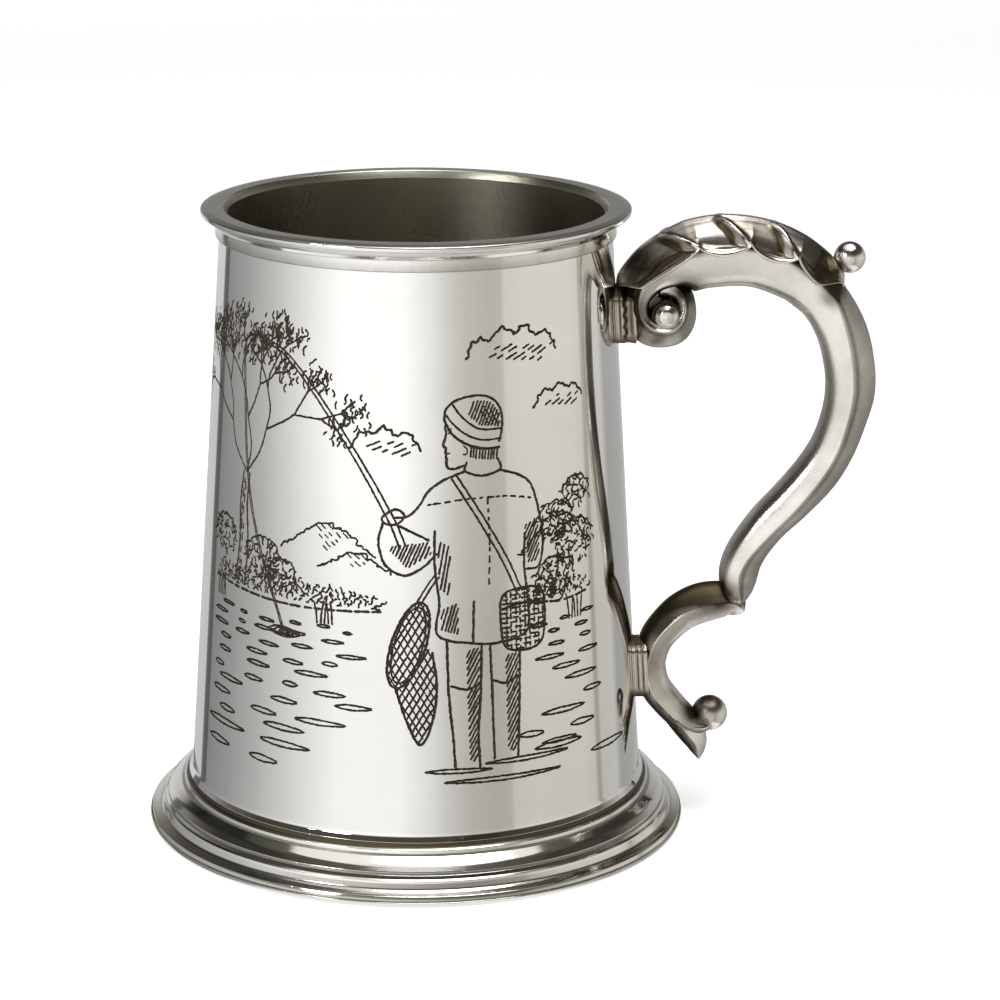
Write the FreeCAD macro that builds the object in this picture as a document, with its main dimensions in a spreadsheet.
"""Tapered one-pint tankard with a double-scroll handle, as a FreeCAD document.

Frame: the tankard's axis is Z, it stands on z = 0, and the handle points along +X.
Every size is a cell of the sheet "Sizes", in millimetres, and angles are in degrees.
"""
import FreeCAD, Part
import Sketcher
import math
import os

# ---------------------------------------------------------------- driving dimensions
SIZES = {
    # body wall: a straight taper with a small flare at its foot
    "wall_top_z": 120.6,
    "wall_top_radius": 37.24,
    "wall_low_z": 11.5,
    "wall_low_radius": 44.2,
    "wall_thickness": 1.3,
    "wall_flare": 0.9,
    "wall_flare_round": 2.6,
    "joint_z": 9.6,
    # base plate let into the foot of the wall
    "base_thickness": 1.5,
    # rim moulding: a flat lip over a cove and a narrow band
    "rim_top_z": 122.0,
    "rim_mouth_radius": 36.74,
    "rim_lip_radius": 41.05,
    "rim_lip_edge": 1.0,
    "rim_lip_round": 0.6,
    "rim_band_radius": 38.2,
    "rim_band_top_z": 118.0,
    "rim_band_z": 116.6,
    "rim_band_under_radius": 37.5,
    "rim_cove_round": 3.2,
    # foot: flange, ovolo, cavetto and a thick resting edge, hollow beneath
    "foot_flange_radius": 40.0,
    "foot_flange_thickness": 1.5,
    "foot_neck_radius": 45.6,
    "foot_ovolo_low_radius": 48.8,
    "foot_ovolo_low_z": 5.7,
    "foot_ovolo_round": 4.2,
    "foot_edge_radius": 52.9,
    "foot_edge_top_z": 2.2,
    "foot_cavetto_round": 7.0,
    "foot_edge_low_z": 1.0,
    "foot_rest_outer_radius": 51.9,
    "foot_rest_inner_radius": 49.9,
    "foot_under_radius": 44.2,
    # volute at the inner end of the handle, and the boss through its eye
    "volute_x": 47.7,
    "volute_z": 101.0,
    "volute_width": 5.4,
    "boss_radius": 3.25,
    "boss_half_width": 5.2,
    # ball at the leaf's tip
    "thumb_ball_x": 82.8,
    "thumb_ball_z": 111.7,
    "thumb_ball_radius": 3.05,
    # ball at the end of the lower scroll
    "end_ball_x": 58.2,
    "end_ball_z": 19.8,
    "end_ball_radius": 3.7,
    # pads between the handle and the wall
    "collar_half_width": 4.6,
    "upper_collar_low_z": 95.2,
    "upper_collar_top_z": 103.8,
    "upper_collar_back_x": 37.0,
    "upper_collar_reach_x": 42.6,
    "lower_collar_low_z": 23.6,
    "lower_collar_top_z": 35.6,
    "lower_collar_back_x": 40.0,
    "lower_collar_reach_x": 46.0,
}

# Sections of the curved castings: name, x, z, the way the curve runs there (degrees
# below +X), half thickness in the plane of the handle, half width across it.
BOW = [
    ("bow_root", 45.9, 108.6, -40.0, 4.0, 5.6),
    ("bow_rise", 50.2, 110.8, -20.0, 4.7, 5.8),
    ("bow_crown", 55.6, 111.7, -5.0, 5.0, 6.0),
    ("bow_top", 61.3, 111.5, 8.0, 5.0, 6.0),
    ("bow_fall", 67.9, 109.9, 22.0, 5.0, 6.0),
    ("bow_shoulder", 74.3, 106.0, 40.0, 5.0, 6.0),
    ("bow_turn", 79.5, 100.2, 57.0, 5.0, 6.0),
    ("bow_side", 82.8, 93.4, 74.0, 4.85, 6.0),
    ("bow_reach", 84.0, 86.6, 88.0, 4.75, 5.9),
    ("tail_high", 82.7, 79.4, 104.0, 4.5, 5.8),
    ("tail_fall", 79.8, 72.6, 117.0, 4.35, 5.7),
    ("tail_middle", 75.7, 66.8, 127.0, 4.25, 5.6),
    ("tail_slope", 71.3, 61.9, 131.0, 4.1, 5.5),
    ("tail_low", 67.3, 57.4, 129.0, 4.0, 5.4),
    ("tail_bend", 64.8, 53.6, 119.0, 3.9, 5.2),
    ("tail_neck", 63.3, 49.7, 109.0, 3.95, 5.1),
    ("tail_end", 62.6, 45.9, 108.0, 3.9, 5.0),
]
LOWER_SCROLL = [
    ("hook_start", 64.3, 41.4, 186.0, 1.2, 3.4),
    ("hook_shoulder", 61.7, 42.5, 183.0, 2.6, 4.1),
    ("hook_top", 58.0, 43.2, 178.0, 3.6, 4.5),
    ("hook_turn", 54.1, 42.1, 162.0, 3.8, 4.6),
    ("hook_side", 50.5, 39.6, 143.0, 3.75, 4.7),
    ("hook_back", 47.9, 36.0, 124.0, 3.4, 4.7),
    ("hook_waist", 46.6, 31.9, 103.0, 3.05, 4.7),
    ("hook_low", 46.9, 27.9, 80.0, 3.05, 4.7),
    ("hook_curl", 48.5, 24.1, 62.0, 3.15, 4.6),
    ("hook_run", 50.9, 21.0, 53.0, 3.15, 4.4),
    ("spur_root", 53.7, 17.4, 52.0, 2.9, 3.9),
    ("spur_blade", 55.7, 13.7, 62.0, 2.0, 2.4),
    ("spur_tip", 56.6, 10.1, 74.0, 0.35, 0.6),
]
LEAF = [
    ("leaf_heel", 42.3, 110.9, -42.0, 0.9, 3.4),
    ("leaf_back", 44.9, 113.1, -38.0, 1.9, 5.2),
    ("leaf_rise", 48.9, 115.2, -24.0, 2.5, 6.3),
    ("leaf_crown", 54.6, 116.8, -9.0, 2.7, 6.5),
    ("leaf_top", 60.9, 117.1, 4.0, 2.7, 6.5),
    ("leaf_fall", 66.7, 116.1, 16.0, 2.7, 6.5),
    ("leaf_shoulder", 72.2, 113.8, 29.0, 2.6, 6.3),
    ("leaf_neck", 76.9, 110.8, 39.0, 2.1, 5.3),
    ("leaf_tip", 80.3, 107.7, 46.0, 1.2, 3.6),
]
# The volute's sections, from its free end outwards: angle about its centre from +X
# towards +Z, distance from the centre, half thickness.
VOLUTE = [
    ("volute_end", 392.0, 4.4, 1.0),
    ("volute_right", 345.0, 4.65, 1.35),
    ("volute_low", 300.0, 4.9, 1.65),
    ("volute_under", 255.0, 5.05, 1.85),
    ("volute_back", 210.0, 5.15, 1.95),
    ("volute_left", 170.0, 5.5, 2.25),
    ("volute_start", 138.0, 6.4, 3.0),
]
# Corners that lie on an axis of the sketch rather than at a size from it.
AXIS = "axis"
GROUND = "ground"

doc = FreeCAD.newDocument("tankard")
sheet = doc.addObject("Spreadsheet::Sheet", "Sizes")


def fill_sheet():
    """Write every driving dimension into the sheet, one row each, and name its cell."""
    rows = dict(SIZES)
    for name, x, z, lean, half, width in BOW + LOWER_SCROLL + LEAF:
        cells = {"x": x, "z": z, "lean": lean, "half": half, "width": width}
        rows.update({f"{name}_{key}": value for key, value in cells.items()})
    for name, angle, reach, half in VOLUTE:
        cells = {"angle": angle, "reach": reach, "half": half}
        rows.update({f"{name}_{key}": value for key, value in cells.items()})
    for row, (name, value) in enumerate(rows.items(), start=1):
        sheet.set(f"A{row}", name)
        sheet.set(f"B{row}", str(value))
        sheet.setAlias(f"B{row}", name)
    doc.recompute()
    return rows


CELLS = fill_sheet()


def bound(formula):
    """The formula with each cell's name pointing at the sheet."""
    return " ".join(f"Sizes.{word}" if word in CELLS else word for word in formula.split())


def value_of(formula):
    """The sum that a formula such as "wall_top_radius - wall_thickness" stands for."""
    total = 0.0
    sign = 1
    for word in formula.split():
        if word in "+-":
            sign = 1 if word == "+" else -1
        elif word in CELLS:
            total += sign * CELLS[word]
    return total


# ---------------------------------------------------------------- turned pieces
def outline_sketch(body, name, outline):
    """A closed sketch in the XZ plane through (radius, height, arc) corners.

    The arc entry is None for a straight side to the next corner, or (side, radius) for
    an arc that swells to the right (+1) or to the left (-1) of the way travelled.
    """
    sketch = body.newObject("Sketcher::SketchObject", f"{name}_outline")
    plane = next(item for item in body.Origin.OriginFeatures if item.Role == "XZ_Plane")
    sketch.AttachmentSupport = [(plane, "")]
    sketch.MapMode = "FlatFace"
    corners = [FreeCAD.Vector(value_of(r), value_of(z), 0) for r, z, _ in outline]
    first_end = []
    for index, (_, _, arc) in enumerate(outline):
        start = corners[index]
        end = corners[(index + 1) % len(corners)]
        if arc is None:
            sketch.addGeometry(Part.LineSegment(start, end))
            first_end.append(1)
            continue
        side, radius = arc
        sketch.addGeometry(arc_between(start, end, side, value_of(radius)))
        first_end.append(1 if side > 0 else 2)
    for index, (r, z, arc) in enumerate(outline):
        first = first_end[index]
        follower = (index + 1) % len(outline)
        place_corner(sketch, "DistanceX", index, first, r, r == AXIS and -2)
        place_corner(sketch, "DistanceY", index, first, z, z == GROUND and -1)
        joint = ("Coincident", index, 3 - first, follower, first_end[follower])
        sketch.addConstraint(Sketcher.Constraint(*joint))
        if arc is not None:
            bind(sketch, Sketcher.Constraint("Radius", index, value_of(arc[1])), arc[1])
    return sketch


def arc_between(start, end, side, radius):
    """The short arc from start to end that swells to the right (+1) or left (-1)."""
    chord = end - start
    right = FreeCAD.Vector(chord.y, -chord.x, 0).normalize()
    depth = math.sqrt(radius ** 2 - (chord.Length / 2) ** 2)
    centre = (start + end) * 0.5 - right * side * depth
    low, high = (start, end) if side > 0 else (end, start)
    angles = [math.atan2(point.y - centre.y, point.x - centre.x) for point in (low, high)]
    circle = Part.Circle(centre, FreeCAD.Vector(0, 0, 1), radius)
    return Part.ArcOfCircle(circle, *angles)


def place_corner(sketch, kind, index, end, formula, on_axis):
    """Hold one end of a side on an axis, or at its distance from the origin."""
    if on_axis:
        sketch.addConstraint(Sketcher.Constraint("PointOnObject", index, end, on_axis))
    else:
        bind(sketch, Sketcher.Constraint(kind, -1, 1, index, end, value_of(formula)), formula)


def bind(sketch, constraint, formula):
    """Add a constraint whose value follows the sheet."""
    number = sketch.addConstraint(constraint)
    sketch.setExpression(f"Constraints[{number}]", bound(formula))


def turned(name, outline):
    """A solid of revolution about Z."""
    body = doc.addObject("PartDesign::Body", name)
    sketch = outline_sketch(body, name, outline)
    turn = body.newObject("PartDesign::Revolution", f"{name}_turned")
    turn.Profile = sketch
    turn.ReferenceAxis = (sketch, ["V_Axis"])
    turn.Angle = 360
    sketch.Visibility = False
    body.Tip = turn
    return body


def make_wall():
    inner_low = "wall_low_radius - wall_thickness"
    return turned("body_wall", [
        ("wall_low_radius", "wall_low_z", None),
        ("wall_top_radius", "wall_top_z", None),
        ("wall_top_radius - wall_thickness", "wall_top_z", None),
        (inner_low, "wall_low_z", None),
        (inner_low, "joint_z", None),
        ("wall_low_radius + wall_flare", "joint_z", (1, "wall_flare_round")),
    ])


def make_base():
    edge = "wall_low_radius - wall_thickness"
    top = "joint_z + base_thickness"
    return turned("base_plate", [
        (AXIS, "joint_z", None),
        (edge, "joint_z", None),
        (edge, top, None),
        (AXIS, top, None),
    ])


def make_rim():
    lip_corner = "rim_lip_radius - rim_lip_round"
    return turned("rim_moulding", [
        ("rim_band_under_radius", "rim_band_z", None),
        ("rim_band_radius", "rim_band_z", None),
        ("rim_band_radius", "rim_band_top_z", (-1, "rim_cove_round")),
        ("rim_lip_radius", "rim_top_z - rim_lip_round - rim_lip_edge", None),
        ("rim_lip_radius", "rim_top_z - rim_lip_round", (1, "rim_lip_round")),
        (lip_corner, "rim_top_z", None),
        ("rim_mouth_radius", "rim_top_z", None),
        ("wall_top_radius - wall_thickness", "wall_top_z", None),
        ("wall_top_radius", "wall_top_z", None),
    ])


def make_foot():
    under = "joint_z - foot_flange_thickness"
    return turned("foot_skirt", [
        ("foot_flange_radius", "joint_z", None),
        ("foot_flange_radius", under, None),
        ("foot_under_radius", under, None),
        ("foot_rest_inner_radius - foot_flange_thickness", "foot_edge_top_z", None),
        ("foot_rest_inner_radius", GROUND, None),
        ("foot_rest_outer_radius", GROUND, None),
        ("foot_edge_radius", "foot_edge_low_z", None),
        ("foot_edge_radius", "foot_edge_top_z", (-1, "foot_cavetto_round")),
        ("foot_ovolo_low_radius", "foot_ovolo_low_z", (1, "foot_ovolo_round")),
        ("foot_neck_radius", "joint_z", None),
    ])


# ---------------------------------------------------------------- handle
def section(name, x, z, lean, half_thickness, half_width):
    """An ellipse square to the curve; all five sizes are formulas on the sheet."""
    ring = doc.addObject("Part::Ellipse", name)
    ring.setExpression("MajorRadius", bound(half_width))
    ring.setExpression("MinorRadius", bound(half_thickness))
    place = f"vector( {x} ; 0 ; {z} )"
    turn = f"rotation( vector( 0 ; 1 ; 0 ) ; {lean} ) * rotation( vector( 1 ; 1 ; 1 ) ; 120 )"
    ring.setExpression("Placement", bound(f"placement( {place} ; {turn} )"))
    ring.Visibility = False
    return ring


def free_sections(table):
    """The sections of a curve shaped by eye, in order."""
    keys = ("x", "z", "lean", "half", "width")
    return [section(row[0], *(f"{row[0]}_{key}" for key in keys)) for row in table]


def volute_sections():
    """Sections square to a circle about the volute's centre."""
    rings = []
    for name, *_ in VOLUTE:
        x = f"volute_x + {name}_reach * cos( {name}_angle * 1 deg )"
        z = f"volute_z + {name}_reach * sin( {name}_angle * 1 deg )"
        rings.append(section(name, x, z, f"90 - {name}_angle", f"{name}_half", "volute_width"))
    return rings


def loft(name, rings):
    solid = doc.addObject("Part::Loft", name)
    solid.Sections = rings
    solid.Solid = True
    solid.Ruled = False
    return solid


def cut(name, base, *tools):
    """base less each tool in turn; the last cut takes the name."""
    for number, tool in enumerate(tools, start=1):
        label = name if number == len(tools) else f"{name}_cut_{number}"
        result = doc.addObject("Part::Cut", label)
        result.Base = base
        result.Tool = tool
        base = result
    return base


def sphere(name, stem):
    ball = doc.addObject("Part::Sphere", name)
    ball.setExpression("Radius", bound(f"{stem}_radius"))
    ball.setExpression("Placement.Base.x", bound(f"{stem}_x"))
    ball.setExpression("Placement.Base.z", bound(f"{stem}_z"))
    return ball


def make_upper_scroll():
    return loft("handle_upper_scroll", volute_sections() + free_sections(BOW))


def make_lower_scroll(upper):
    return cut("handle_lower_scroll", loft("lower_scroll_whole", free_sections(LOWER_SCROLL)), upper)


def make_leaf(upper):
    return cut("acanthus_leaf", loft("leaf_whole", free_sections(LEAF)), upper)


def make_boss(upper):
    pin = doc.addObject("Part::Ellipsoid", "boss_whole")
    pin.setExpression("Radius1", bound("boss_radius"))
    pin.setExpression("Radius2", bound("boss_radius"))
    pin.setExpression("Radius3", bound("boss_half_width"))
    pin.setExpression("Placement.Base.x", bound("volute_x"))
    pin.setExpression("Placement.Base.z", bound("volute_z"))
    return cut("volute_boss", pin, upper)


def wall_cone():
    """The outside of the body wall as a solid cone, to shape the backs of the collars."""
    cone = doc.addObject("Part::Cone", "wall_cone")
    cone.setExpression("Radius1", bound("wall_low_radius"))
    cone.setExpression("Radius2", bound("wall_top_radius"))
    cone.setExpression("Height", bound("wall_top_z - wall_low_z"))
    cone.setExpression("Placement.Base.z", bound("wall_low_z"))
    return cone


def make_collar(stem, cone, scroll):
    """A pad that fits the wall at its back and the scroll at its front."""
    block = doc.addObject("Part::Box", f"{stem}_block")
    block.setExpression("Length", bound(f"{stem}_reach_x - {stem}_back_x"))
    block.setExpression("Width", bound("2 * collar_half_width"))
    block.setExpression("Height", bound(f"{stem}_top_z - {stem}_low_z"))
    block.setExpression("Placement.Base.x", bound(f"{stem}_back_x"))
    block.setExpression("Placement.Base.y", bound("- collar_half_width"))
    block.setExpression("Placement.Base.z", bound(f"{stem}_low_z"))
    return cut(stem, block, cone, scroll)


# ---------------------------------------------------------------- assembly
def build():
    upper = make_upper_scroll()
    lower = make_lower_scroll(upper)
    leaf = make_leaf(upper)
    cone = wall_cone()
    return [
        make_wall(),
        make_base(),
        make_rim(),
        make_foot(),
        upper,
        lower,
        leaf,
        make_boss(upper),
        cut("thumb_ball", sphere("thumb_ball_whole", "thumb_ball"), upper, leaf),
        cut("terminal_ball", sphere("end_ball_whole", "end_ball"), lower),
        make_collar("upper_collar", cone, upper),
        make_collar("lower_collar", cone, lower),
    ]


def check(pieces):
    """Stop on any failed object, and on any piece that isn't one sound solid."""
    for item in doc.Objects:
        if {"Invalid", "Error"} & set(item.State):
            raise RuntimeError(f"{item.Name} failed: {item.State}")
    for piece in pieces:
        shape = piece.Shape
        if shape.isNull() or not shape.isValid() or len(shape.Solids) != 1:
            raise RuntimeError(f"{piece.Label} is not one valid solid")


def export(pieces):
    os.makedirs("parts", exist_ok=True)
    for piece in pieces:
        piece.Shape.exportStep(os.path.join("parts", f"{piece.Label}.step"))
        box = piece.Shape.optimalBoundingBox()
        print(f"{piece.Label}: {piece.Shape.Volume:.0f} mm3,"
              f" x {box.XMin:.1f} to {box.XMax:.1f}, z {box.ZMin:.1f} to {box.ZMax:.1f}")


solids = build()
doc.recompute()
check(solids)
export(solids)
